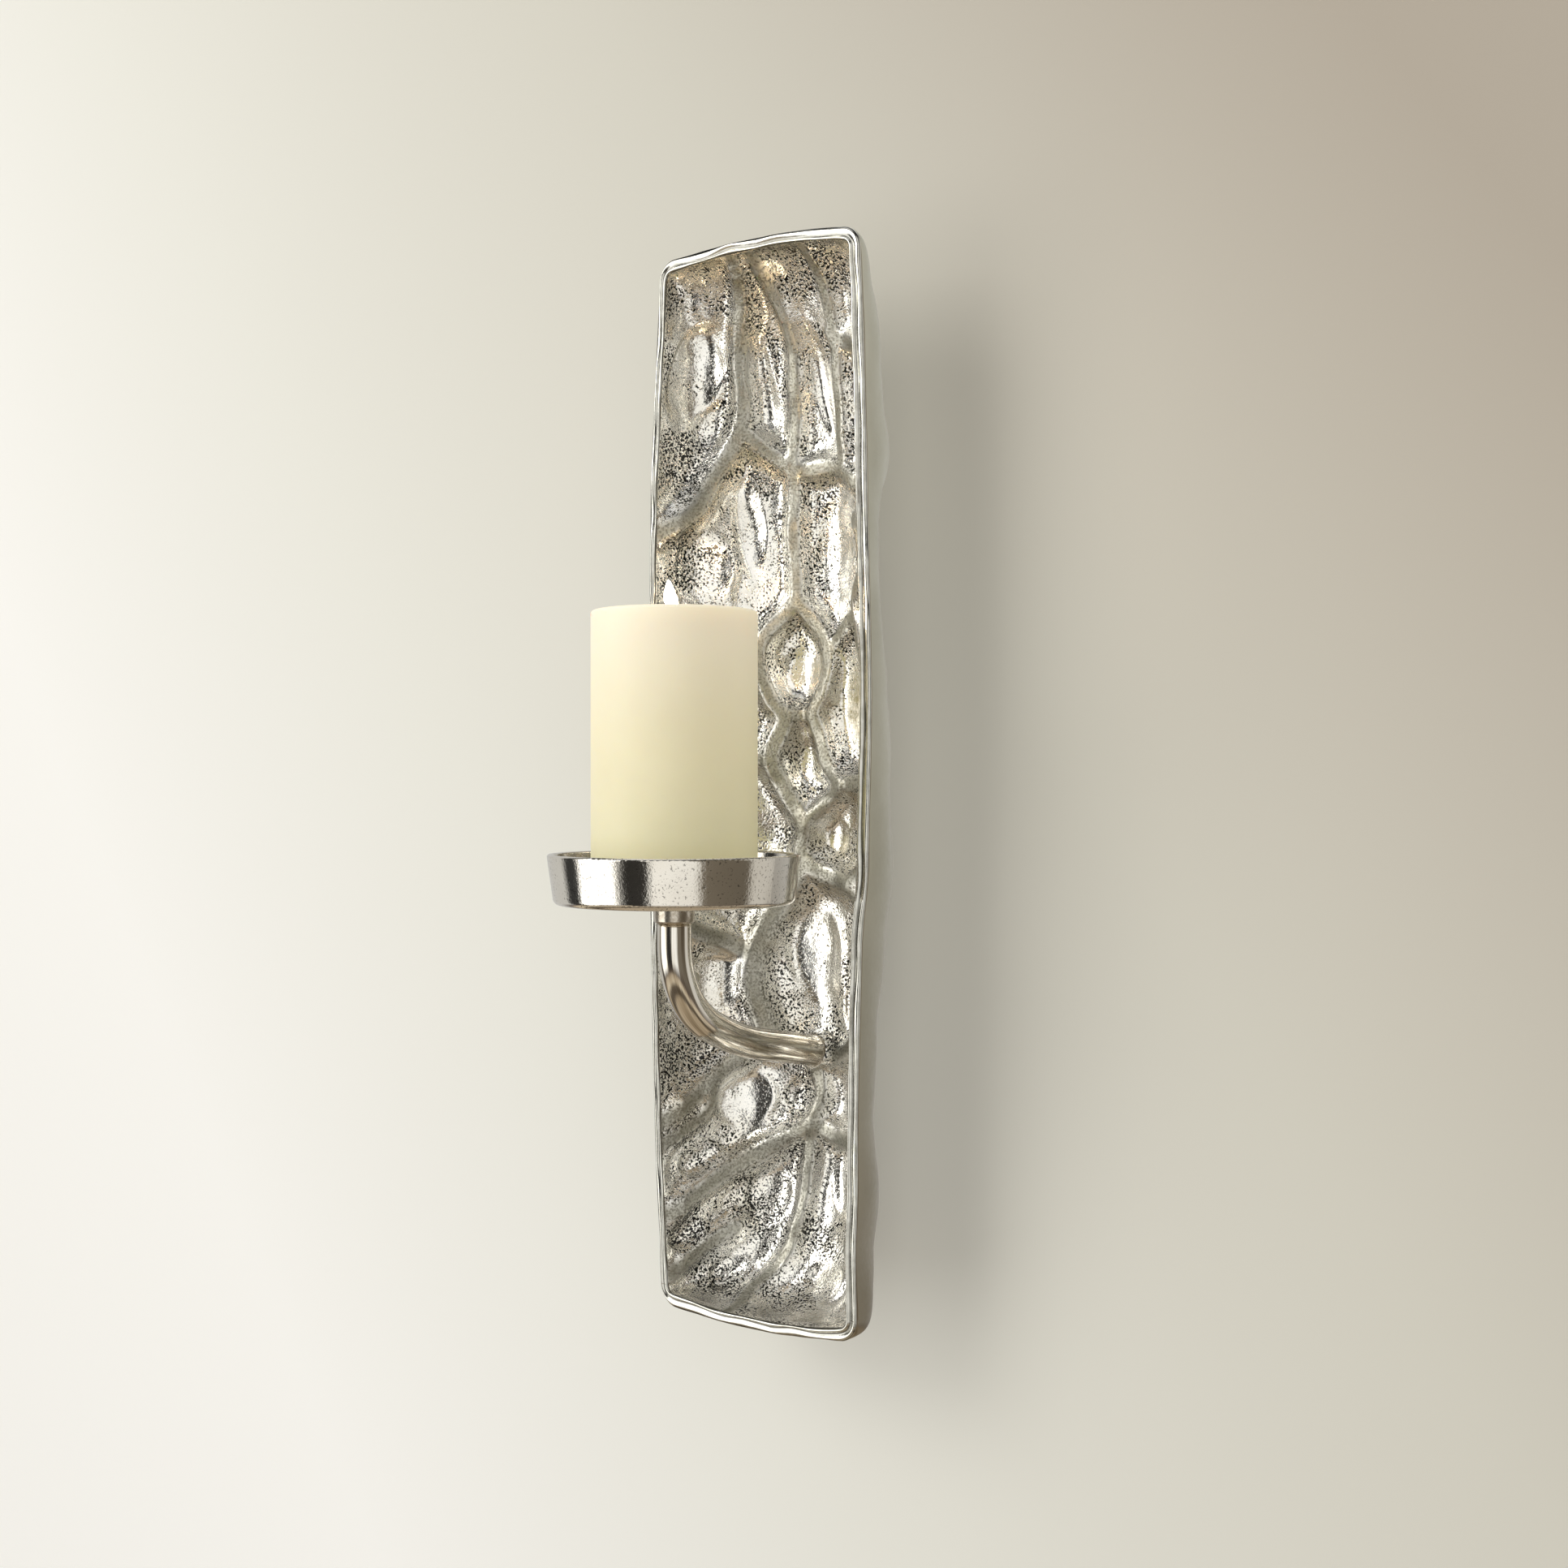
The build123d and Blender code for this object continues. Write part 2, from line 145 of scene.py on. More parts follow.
# ---- Materials ----------------------------------------------------------------------------------
def cast_nickel():
    """Sand-cast metal with a raw nickel finish: bright pitted scoops between smoother, duller crests."""
    mat, tree, shader = new_material("cast_nickel_raw")
    place = object_place(tree)
    crest = node(tree, "ShaderNodeAttribute", attribute_name="crest").outputs["Fac"]
    grain = noise(tree, place, 880.0, 1.5, 0.6)
    lumps = noise(tree, place, 130.0, 2.0, 0.5)
    patches = noise(tree, place, 34.0, 3.0, 0.55)
    tint = ramp(tree, patches, [(0.32, (0.80, 0.765, 0.68)), (0.5, (0.92, 0.905, 0.85)),
                                (0.7, (0.975, 0.965, 0.93))])
    # Pits crowd together in some zones and are rare in others.
    zone = ramp(tree, noise(tree, place, 46.0, 2.0, 0.55), [(0.43, 0.0), (0.60, 1.0)])
    calm = node(tree, "ShaderNodeAttribute", attribute_name="calm").outputs["Fac"]
    depth = maths(tree, "SUBTRACT", grain, maths(tree, "MULTIPLY", zone, 0.12))
    depth = maths(tree, "ADD", depth, maths(tree, "MULTIPLY", calm, 0.10))
    pit_shade = ramp(tree, depth, [(0.335, 0.04), (0.380, 1.0)])
    dull = ramp(tree, grain, [(0.35, (0.31, 0.305, 0.27)), (0.60, (0.52, 0.515, 0.47))])
    colour = multiply_colour(tree, tint, mix_colour(tree, crest, pit_shade, dull))
    tree.links.new(colour, shader.inputs["Base Color"])
    shader.inputs["Metallic"].default_value = 1.0
    rough = ramp(tree, patches, [(0.35, 0.10), (0.65, 0.16)])
    tree.links.new(mix_colour(tree, crest, rough, (0.42, 0.42, 0.42)), shader.inputs["Roughness"])
    strength = ramp(tree, crest, [(0.0, 1.0), (0.8, 0.6)])
    pits = ramp(tree, depth, [(0.32, 0.0), (0.42, 0.8), (0.60, 1.0)])
    coarse = node(tree, "ShaderNodeBump", {"Height": lumps, "Strength": 0.25, "Distance": 0.0014})
    bump = node(tree, "ShaderNodeBump", {"Height": pits, "Strength": strength, "Distance": 0.00022,
                                         "Normal": coarse.outputs[0]})
    tree.links.new(bump.outputs[0], shader.inputs["Normal"])
    return mat


def shell_nickel():
    """Satin outside of the casting, with faint pits and painted shade: darker and browner towards the bottom,
    lighter at the top.
    """
    mat, tree, shader = new_material("cast_nickel_satin")
    place = object_place(tree)
    broad = noise(tree, place, 22.0, 3.0, 0.5)
    pits = noise(tree, place, 380.0, 2.0, 0.5)
    colour = ramp(tree, broad, [(0.3, (0.74, 0.73, 0.62)), (0.7, (0.88, 0.87, 0.76))])
    height = node(tree, "ShaderNodeSeparateXYZ", {0: place}).outputs["Z"]
    share = share_between(tree, height, trough_low.z, trough_high.z)
    # Painted shade: the outside is darker and browner towards the bottom and lighter towards the top.
    painted_height_shade = ramp(tree, share, [(0.0, (0.42, 0.37, 0.32)), (0.5, (0.78, 0.77, 0.73)),
                                (1.0, (1.0, 1.0, 0.98))])
    tree.links.new(multiply_colour(tree, colour, painted_height_shade), shader.inputs["Base Color"])
    shader.inputs["Metallic"].default_value = 1.0
    tree.links.new(ramp(tree, pits, [(0.3, 0.42), (0.7, 0.34)]), shader.inputs["Roughness"])
    bump = node(tree, "ShaderNodeBump", {"Height": pits, "Strength": 0.12, "Distance": 0.0006})
    tree.links.new(bump.outputs[0], shader.inputs["Normal"])
    return mat


def rim_nickel():
    """Polished rim of the casting, slightly uneven from hand work, and darker in its grooves."""
    mat, tree, shader = new_material("nickel_rim_polished")
    place = object_place(tree)
    wear = noise(tree, place, 160.0, 3.0, 0.6)
    tone = ramp(tree, wear, [(0.35, (0.58, 0.57, 0.51)), (0.65, (0.74, 0.73, 0.67))])
    groove = node(tree, "ShaderNodeAttribute", attribute_name="groove").outputs["Fac"]
    # Darker in the grooves.
    groove_darkening = ramp(tree, groove, [(0.1, 1.0), (0.9, 0.22)])
    tree.links.new(multiply_colour(tree, tone, groove_darkening), shader.inputs["Base Color"])
    shader.inputs["Metallic"].default_value = 1.0
    tree.links.new(ramp(tree, wear, [(0.35, 0.22), (0.7, 0.12)]), shader.inputs["Roughness"])
    bump = node(tree, "ShaderNodeBump", {"Height": wear, "Strength": 0.15, "Distance": 0.001})
    tree.links.new(bump.outputs[0], shader.inputs["Normal"])
    return mat


def polished_nickel():
    """Polished nickel of the cup, with a scatter of fine pits."""
    mat, tree, shader = new_material("nickel_polished")
    place = object_place(tree)
    broad = noise(tree, place, 30.0, 2.0, 0.5)
    fine = noise(tree, place, 900.0, 1.5, 0.6)
    zone = ramp(tree, noise(tree, place, 55.0, 2.0, 0.5), [(0.42, 0.0), (0.60, 1.0)])
    depth = maths(tree, "SUBTRACT", fine, maths(tree, "MULTIPLY", zone, 0.06))
    tone = ramp(tree, broad, [(0.3, (0.76, 0.72, 0.64)), (0.7, (0.86, 0.83, 0.76))])
    pit_shade = ramp(tree, depth, [(0.30, 0.45), (0.34, 1.0)])
    tree.links.new(multiply_colour(tree, tone, pit_shade), shader.inputs["Base Color"])
    shader.inputs["Metallic"].default_value = 1.0
    tree.links.new(ramp(tree, fine, [(0.3, 0.13), (0.7, 0.07)]), shader.inputs["Roughness"])
    height = maths(tree, "ADD", maths(tree, "MULTIPLY", broad, 0.8), maths(tree, "MULTIPLY", depth, 0.10))
    bump = node(tree, "ShaderNodeBump", {"Height": height, "Strength": 0.25, "Distance": 0.002})
    tree.links.new(bump.outputs[0], shader.inputs["Normal"])
    return mat


def streaked_nickel():
    """Polished nickel of the arm, drawn out in long fine lines along the tube."""
    mat, tree, shader = new_material("nickel_drawn")
    lie = node(tree, "ShaderNodeAttribute", attribute_name="lie").outputs["Vector"]
    lines = noise(tree, lie, 420.0, 3.0, 0.6)
    bands = noise(tree, lie, 150.0, 1.0, 0.5)
    colour = ramp(tree, lines, [(0.36, (0.40, 0.345, 0.27)), (0.50, (0.68, 0.63, 0.54)),
                                (0.62, (0.86, 0.83, 0.76))])
    tree.links.new(colour, shader.inputs["Base Color"])
    shader.inputs["Metallic"].default_value = 1.0
    tree.links.new(ramp(tree, lines, [(0.3, 0.16), (0.7, 0.07)]), shader.inputs["Roughness"])
    height = maths(tree, "ADD", maths(tree, "MULTIPLY", bands, 1.0), maths(tree, "MULTIPLY", lines, 0.25))
    bump = node(tree, "ShaderNodeBump", {"Height": height, "Strength": 0.5, "Distance": 0.0011})
    tree.links.new(bump.outputs[0], shader.inputs["Normal"])
    return mat


def worn_nickel():
    """Duller, browner nickel of the collar and the foot ring."""
    mat, tree, shader = new_material("nickel_worn")
    wear = noise(tree, object_place(tree), 240.0, 3.0, 0.6)
    colour = ramp(tree, wear, [(0.35, (0.42, 0.37, 0.29)), (0.65, (0.66, 0.61, 0.53))])
    tree.links.new(colour, shader.inputs["Base Color"])
    shader.inputs["Metallic"].default_value = 1.0
    tree.links.new(ramp(tree, wear, [(0.35, 0.34), (0.65, 0.20)]), shader.inputs["Roughness"])
    bump = node(tree, "ShaderNodeBump", {"Height": wear, "Strength": 0.2, "Distance": 0.001})
    tree.links.new(bump.outputs[0], shader.inputs["Normal"])
    return mat


def zinc_steel():
    mat, tree, shader = new_material("zinc_steel")
    place = object_place(tree)
    spangle = noise(tree, place, 120.0, 2.0, 0.6)
    colour = ramp(tree, spangle, [(0.3, (0.42, 0.43, 0.44)), (0.7, (0.60, 0.61, 0.62))])
    tree.links.new(colour, shader.inputs["Base Color"])
    shader.inputs["Metallic"].default_value = 1.0
    tree.links.new(ramp(tree, spangle, [(0.3, 0.45), (0.7, 0.30)]), shader.inputs["Roughness"])
    return mat


def black_rubber():
    mat, tree, shader = new_material("rubber_black")
    grain = noise(tree, object_place(tree), 700.0, 2.0, 0.6)
    tree.links.new(ramp(tree, grain, [(0.3, 0.012), (0.7, 0.03)]), shader.inputs["Base Color"])
    shader.inputs["Roughness"].default_value = 0.8
    bump = node(tree, "ShaderNodeBump", {"Height": grain, "Strength": 0.3, "Distance": 0.0004})
    tree.links.new(bump.outputs[0], shader.inputs["Normal"])
    return mat


def candle_wax():
    """Ivory wax with painted light: it glows of its own, more strongly towards the top near the flame."""
    mat, tree, shader = new_material("wax_ivory")
    place = object_place(tree)
    height = node(tree, "ShaderNodeSeparateXYZ", {0: place}).outputs["Z"]
    share = share_between(tree, height, candle_low.z, candle_high.z)
    mottle = noise(tree, place, 45.0, 3.0, 0.5)
    body = ramp(tree, share, [(0.0, (0.62, 0.60, 0.43)), (0.5, (0.70, 0.66, 0.495)),
                              (1.0, (0.74, 0.70, 0.60))])
    shade = ramp(tree, mottle, [(0.3, 0.95), (0.7, 1.0)])
    tree.links.new(multiply_colour(tree, body, shade), shader.inputs["Base Color"])
    shader.inputs["Roughness"].default_value = 0.55
    shader.inputs["Specular IOR Level"].default_value = 0.3
    shader.inputs["Subsurface Weight"].default_value = 0.6
    shader.inputs["Subsurface Radius"].default_value = (1.0, 0.75, 0.4)
    shader.inputs["Subsurface Scale"].default_value = 0.02
    # Painted light: the wax gives off a glow of its own over its whole height, strongest towards the top near
    # the flame.
    glow = ramp(tree, share, [(0.0, (0.24, 0.22, 0.12)), (0.6, (0.32, 0.285, 0.175)),
                              (1.0, (0.395, 0.35, 0.25))])
    tree.links.new(glow, shader.inputs["Emission Color"])
    shader.inputs["Emission Strength"].default_value = 1.0
    bump = node(tree, "ShaderNodeBump", {"Height": mottle, "Strength": 0.08, "Distance": 0.002})
    tree.links.new(bump.outputs[0], shader.inputs["Normal"])
    return mat


def charred_cotton():
    mat, tree, shader = new_material("cotton_charred")
    weave = noise(tree, object_place(tree), 1500.0, 2.0, 0.6)
    colour = ramp(tree, weave, [(0.3, (0.02, 0.015, 0.01)), (0.7, (0.10, 0.07, 0.05))])
    tree.links.new(colour, shader.inputs["Base Color"])
    shader.inputs["Roughness"].default_value = 0.9
    return mat


def flame_light():
    """Candle flame: white-hot inside, warm towards the tip and the edge."""
    mat, tree, shader = new_material("flame")
    place = object_place(tree)
    height = node(tree, "ShaderNodeSeparateXYZ", {0: place}).outputs["Z"]
    share = share_between(tree, height, candle_high.z, candle_high.z + 0.02)
    colour = ramp(tree, share, [(0.0, (1.0, 0.62, 0.30)), (0.4, (1.0, 0.90, 0.70)), (1.0, (1.0, 0.80, 0.50))])
    tree.links.new(colour, shader.inputs["Emission Color"])
    shader.inputs["Emission Strength"].default_value = 40.0
    shader.inputs["Base Color"].default_value = (1.0, 0.8, 0.5, 1.0)
    return mat


def only_for_sight(tree, shader):
    """Keeps a stage surface from being reflected or casting shadows, and clear from behind."""
    path = node(tree, "ShaderNodeLightPath").outputs["Is Camera Ray"]
    back = node(tree, "ShaderNodeNewGeometry").outputs["Backfacing"]
    shown = maths(tree, "MULTIPLY", path, maths(tree, "SUBTRACT", 1.0, back))
    clear = node(tree, "ShaderNodeBsdfTransparent").outputs[0]
    blend = node(tree, "ShaderNodeMixShader", {0: shown, 1: clear, 2: shader.outputs[0]})
    tree.links.new(blend.outputs[0], tree.nodes["Material Output"].inputs["Surface"])


def wall_with_painted_light():
    """Warm pale plaster with painted light: darker and browner towards the upper right, where less light falls,
    and a faint glow of its own.
    """
    mat, tree, shader = new_material("wall_with_painted_light")
    x, _, z = node(tree, "ShaderNodeSeparateXYZ", {0: object_place(tree)}).outputs
    # Painted shade: the tone falls off towards the upper right, as the light does across the wall.
    shade_slant = maths(tree, "ADD", x, maths(tree, "MULTIPLY", z, 0.7))
    share = share_between(tree, shade_slant, -0.70, 0.50)
    tone = ramp(tree, share, [(0.0, (0.74, 0.735, 0.71)), (0.35, (0.635, 0.63, 0.58)),
                              (0.70, (0.51, 0.495, 0.435)), (1.0, (0.36, 0.322, 0.268))])
    tree.links.new(tone, shader.inputs["Base Color"])
    shader.inputs["Roughness"].default_value = 0.9
    # Painted light: the wall glows faintly in its own tone, lifting its shade and the cast shadow.
    tree.links.new(tone, shader.inputs["Emission Color"])
    shader.inputs["Emission Strength"].default_value = 0.36
    only_for_sight(tree, shader)
    return mat


def floor_paint():
    mat, tree, shader = new_material("floor_paint")
    mottle = noise(tree, object_place(tree), 8.0, 2.0, 0.5)
    colour = ramp(tree, mottle, [(0.3, (0.74, 0.72, 0.67)), (0.7, (0.78, 0.76, 0.71))])
    tree.links.new(colour, shader.inputs["Base Color"])
    shader.inputs["Roughness"].default_value = 0.8
    shader.inputs["Emission Color"].default_value = (0.78, 0.76, 0.71, 1.0)
    shader.inputs["Emission Strength"].default_value = 0.25
    only_for_sight(tree, shader)
    return mat


# ---- Mesh helpers -------------------------------------------------------------------------------
def make_object(name, points, faces, *materials, smooth=True):
    mesh = bpy.data.meshes.new(name)
    mesh.from_pydata([tuple(p) for p in points], [], faces)
    mesh.validate()
    mesh.polygons.foreach_set("use_smooth", [smooth] * len(mesh.polygons))
    made = bpy.data.objects.new(name, mesh)
    bpy.context.scene.collection.objects.link(made)
    for material in materials:
        mesh.materials.append(material)
    return made


def turned(name, profile, centre, material, around=128):
    """Closed body turned about the vertical through centre. Both ends of the (r, z) profile are on the axis."""
    angles = [2 * math.pi * k / around for k in range(around)]
    points = [(centre[0], centre[1], profile[0][1])]
    rings = profile[1:-1]
    for r, z in rings:
        points.extend((centre[0] + r * math.cos(a), centre[1] + r * math.sin(a), z) for a in angles)
    points.append((centre[0], centre[1], profile[-1][1]))
    last = len(points) - 1
    faces = []
    for k in range(around):
        n = (k + 1) % around
        faces.append((0, 1 + n, 1 + k))
        for ring in range(len(rings) - 1):
            base = 1 + ring * around
            faces.append((base + k, base + n, base + around + n, base + around + k))
        base = 1 + (len(rings) - 1) * around
        faces.append((base + k, base + n, last))
    return make_object(name, points, faces, material)


# ---- Trough: base form --------------------------------------------------------------------------
def trough_form(v, t, inset):
    """Point on the bare form. v runs -1 to 1 from bottom to top, t from 0 (right rim) to pi (left rim)."""
    high = half_height - inset
    deep = trough_depth - inset
    level = high * v * (1.5 - 0.5 * v * v)
    half = end_half_width + (mid_half_width - end_half_width) * (1 - (level / high) ** 2) - inset
    gap = np.maximum(high - np.abs(level), 0)
    near_end = np.where(level > 0, deep * (gap / top_rake) ** 0.4545, deep * (gap / bottom_rake) ** 0.2857)
    depth = (np.maximum(near_end, 1e-6) ** -12.0 + deep ** -12.0) ** (-1 / 12)
    power = 2.0 + 2.0 * (1 - np.minimum(depth / (deep * 0.87), 1))
    c, s = np.cos(t), np.sin(t)
    x = half * np.sign(c) * np.abs(c) ** (2 / power)
    y = rim_y + depth * np.abs(s) ** (2 / power)
    corner = max(9.0 - inset, 3.0)
    over = np.clip(np.abs(x) - (half - corner), 0, corner)
    edge = high - edge_bow * (x / half) ** 2 - (corner - np.sqrt(corner ** 2 - over ** 2))
    return np.stack([x, y, level * edge / high], -1)


def developed(points):
    """Distance across the surface from the middle of the back, with the rims at plus and minus flank."""
    step = np.linalg.norm(np.diff(points, axis=1), axis=2)
    run = np.concatenate([np.zeros((len(points), 1)), np.cumsum(step, axis=1)], axis=1)
    return flank * (1 - 2 * run / np.maximum(run[:, -1:], 1e-6))


# ---- Trough: relief ------------------------------------------------------------------------------
# Where crests meet, as (across, up) in developed millimetres.
FORK_TOP = (-45, 180)
CROSS_MIDDLE = (-15, 160)
CROSS_RIGHT = (30, 150)
WAIST = (-15, 95)
CELL_RIGHT = (5, 65)
CELL_FOOT = (-5, 35)
CELL_LEFT = (-20, 35)
RIGHT_LOW = (15, 0)
PINCH = (-10, -20)
SHELF_RIGHT = (25, -50)
ARM_LEFT = (-30, -130)
ARM_FOOT = (-5, -140)
LOW_FORK = (-5, -170)
END_FORK = (-10, -235)
OUTER_RIGHT = (45, 85)

# Each crest is (half width, height, points). Most run between meeting points, the ends and the rim.
CRESTS = [
    (4.5, 6.0, [(-30, 255), (-40, 215), FORK_TOP, (-70, 145), (-95, 125)]),
    (4.0, 5.5, [FORK_TOP, CROSS_MIDDLE, (10, 160), CROSS_RIGHT]),
    (4.0, 5.0, [(-15, 255), (-5, 225), CROSS_MIDDLE]),
    (4.0, 5.0, [(40, 255), (30, 210), (20, 160)]),
    (3.5, 6.0, [CROSS_MIDDLE, WAIST]),
    (3.5, 6.0, [WAIST, (-35, 70), (-30, 45), CELL_LEFT]),
    (4.0, 6.0, [WAIST, CELL_RIGHT, CELL_FOOT]),
    (4.0, 5.0, [CELL_RIGHT, (25, 80), OUTER_RIGHT]),
    (3.0, 5.0, [CELL_LEFT, CELL_FOOT]),
    (5.0, 6.0, [CELL_LEFT, (-30, 10), PINCH]),
    (4.5, 6.0, [CELL_FOOT, (5, 10), RIGHT_LOW]),
    (4.0, 6.0, [RIGHT_LOW, PINCH]),
    (5.0, 6.0, [PINCH, (-10, -40), SHELF_RIGHT]),
    (4.0, 4.0, [(-30, 10), (-95, 35)]),
    (6.5, 6.0, [(-10, -40), (-30, -65), (-40, -100), ARM_LEFT]),
    (4.0, 4.0, [(-40, -85), (-95, -65)]),
    (4.0, 5.5, [ARM_LEFT, (-60, -145), (-95, -170)]),
    (3.0, 4.5, [(-65, -150), (-70, -165), (-95, -180)]),
    (4.0, 5.0, [ARM_FOOT, (0, -155), LOW_FORK]),
    (4.5, 6.0, [LOW_FORK, (-50, -195), (-95, -215)]),
    (4.0, 5.0, [LOW_FORK, END_FORK]),
    (4.0, 5.0, [END_FORK, (-35, -260)]),
    (4.0, 4.0, [(-95, -245), (-50, -225)]),
]
# The same net, carried on over the right-hand side to the rim.
CRESTS += [
    (4.0, 5.5, [CROSS_RIGHT, (70, 130), (95, 120)]),
    (4.0, 5.0, [(30, 220), (55, 210), (95, 195)]),
    (4.0, 5.0, [OUTER_RIGHT, (65, 100), (85, 120)]),
    (4.0, 5.5, [OUTER_RIGHT, (65, 45), (40, 5), RIGHT_LOW]),
    (4.0, 5.0, [(65, 45), (95, 40)]),
    (4.5, 5.5, [SHELF_RIGHT, (45, -30), (50, 5)]),
    (4.0, 5.0, [SHELF_RIGHT, (40, -65), (60, -75), (95, -60)]),
    (4.5, 5.5, [(40, -65), (45, -95), (30, -130), ARM_FOOT]),
    (4.0, 5.0, [(40, -115), (60, -125), (95, -150)]),
    (4.5, 5.5, [LOW_FORK, (35, -175), (65, -130)]),
    (4.0, 5.0, [(35, -175), (45, -195), (95, -220)]),
]


def smooth_line(points, per_span=6):
    """Catmull-Rom curve through the points."""
    p = np.array(points, float)
    p = np.vstack([2 * p[0] - p[1], p, 2 * p[-1] - p[-2]])
    out = []
    for k in range(1, len(p) - 2):
        for u in np.linspace(0, 1, per_span, endpoint=False):
            out.append(0.5 * (2 * p[k] + (p[k + 1] - p[k - 1]) * u
                              + (2 * p[k - 1] - 5 * p[k] + 4 * p[k + 1] - p[k + 2]) * u ** 2
                              + (3 * p[k] - p[k - 1] - 3 * p[k + 1] + p[k + 2]) * u ** 3))
    out.append(p[-2])
    return np.array(out)


def distance_to(line, a, b):
    """Distance from every (a, b) to the line."""
    best = np.full(a.shape, 1e9)
    for (ax, ay), (bx, by) in zip(line, line[1:]):
        dx, dy = bx - ax, by - ay
        along = np.clip(((a - ax) * dx + (b - ay) * dy) / (dx * dx + dy * dy), 0, 1)
        best = np.minimum(best, np.hypot(a - ax - along * dx, b - ay - along * dy))
    return best


def waves(a, b, seed, scale, count=14):
    """Smooth random undulation, about -1 to 1, made of a few sine waves."""
    rng = np.random.default_rng(seed)
    total = np.zeros(a.shape)
    for _ in range(count):
        angle = rng.uniform(0, 2 * math.pi)
        length = scale * rng.uniform(0.6, 1.6)
        phase = rng.uniform(0, 2 * math.pi)
        total += np.sin(2 * math.pi * (a * math.cos(angle) + b * math.sin(angle)) / length + phase)
    return total / math.sqrt(count)


# Each scoop is (across, up, half width, half length, turn in degrees, depth, freedom from pits).
SCOOPS = [
    (-30, 205, 8, 24, 4, 3.5, 1), (10, 200, 7, 26, 3, 3.5, 1), (-70, 205, 16, 26, -30, 3.0, 1),
    (-60, 180, 9, 13, -30, 1.5, 0), (10, 120, 14, 24, -6, 3.5, 1), (-40, 130, 9, 24, 6, 3.0, 1),
    (-65, 110, 16, 18, 10, 2.5, 0), (-15, 55, 10, 13, -20, 3.5, 1), (-10, 10, 9, 15, -25, 3.5, 0),
    (20, 35, 12, 26, 8, 3.5, 1), (5, -25, 9, 12, 20, 3.0, 1), (-35, -25, 12, 9, 0, 2.5, 0),
    (-5, -85, 17, 24, 10, 3.5, 1), (-60, -100, 14, 20, -20, 3.0, 1), (-85, -110, 8, 16, 0, 2.0, 0),
    (-45, -160, 17, 15, 0, 2.2, 1), (-15, -160, 8, 10, 0, 2.5, 0), (20, -195, 12, 20, 4, 3.0, 1),
    (-30, -210, 13, 16, -10, 3.0, 0), (-80, -225, 12, 7, 15, 2.0, 0), (-70, -190, 12, 7, 20, 2.0, 0),
    (20, -245, 16, 8, 0, 2.5, 0), (-50, -245, 12, 7, 15, 2.0, 0), (-65, 60, 20, 26, 0, 3.0, 0),
    (-70, -20, 18, 26, 0, 3.0, 0), (50, 180, 16, 18, 20, 3.0, 0), (60, 150, 14, 10, 20, 2.0, 0),
    (80, 70, 11, 16, 0, 2.5, 0), (40, 30, 12, 20, 0, 3.0, 0), (75, -10, 14, 24, 0, 3.0, 0),
    (60, -100, 14, 16, 0, 2.5, 0), (75, -175, 14, 20, 0, 3.0, 0), (50, -230, 14, 14, 0, 2.5, 0),
    (25, -110, 11, 16, 0, 2.5, 0), (70, 230, 14, 14, 0, 2.5, 0),
]


def relief(across, up):
    """Height of the relief, and how much of each point is crest and how much is free of pits."""
    wander = 1.2 * waves(across, up, 4, 60.0)
    sway = 1.2 * waves(across, up, 5, 60.0)
    height = np.zeros(across.shape)
    crest = np.zeros(across.shape)
    calm = np.zeros(across.shape)
    for half, tall, points in CRESTS:
        away = distance_to(smooth_line(points), across + wander, up + sway)
        slope = 1 / (1 + (np.maximum(away - 2.0, 0) / (half * 1.15)) ** 3)
        one = tall * 1.3 * slope
        high = np.maximum(height, one)
        low = np.minimum(height, one)
        height = high + 0.10 * low
        crest = np.maximum(crest, np.clip(1.45 - away / half, 0, 1))
    for x, z, half_width, half_length, turn, depth, smooth in SCOOPS:
        c, k = math.cos(math.radians(turn)), math.sin(math.radians(turn))
        dx = ((across - x) * c + (up - z) * k) / half_width
        dz = ((up - z) * c - (across - x) * k) / half_length
        inside = np.maximum(1.3 - dx ** 2 - dz ** 2, 0)
        lean = 0.17 * half_width * dx * np.clip(inside * 2, 0, 1)
        height -= (depth * 0.62 * inside - lean) * (1 - crest)
        calm = np.maximum(calm, smooth * np.clip(inside * 1.5, 0, 1))
    height += 0.8 * waves(across, up, 7, 34.0) + 0.14 * waves(across, up, 8, 13.0)
    return height, crest, calm


def by_level(level, stops):
    """Smooth value over height from (level, value) stops given from bottom to top."""
    levels, values = np.array(stops, float).T
    place = np.clip(level, levels[0], levels[-1])
    k = np.clip(np.searchsorted(levels, place) - 1, 0, len(levels) - 2)
    u = (place - levels[k]) / (levels[k + 1] - levels[k])
    u = u * u * (3 - 2 * u)
    return values[k] * (1 - u) + values[k + 1] * u


# How far each long edge strays from the drawn outline, and how the flanks swell and pinch.
LEFT_EDGE = [(-263, 0.0), (-170, -1.0), (0, -0.8), (90, -2.4), (147, -2.8), (205, -1.8), (263, -1.0)]
RIGHT_EDGE = [(-263, -1.8), (-207, -4.6), (-130, -6.0), (-78, -5.6), (-34, -2.4), (50, -0.4), (160, -0.8),
              (263, 0.0)]
FLANK_SWELL = [(-263, 0.0), (-228, -4.0), (-195, 0.5), (-155, -4.0), (-100, -2.5), (-55, 1.2), (0, 0.5),
               (60, -6.0), (118, -8.5), (160, 1.8), (200, 1.5), (235, -1.0), (263, 0.0)]


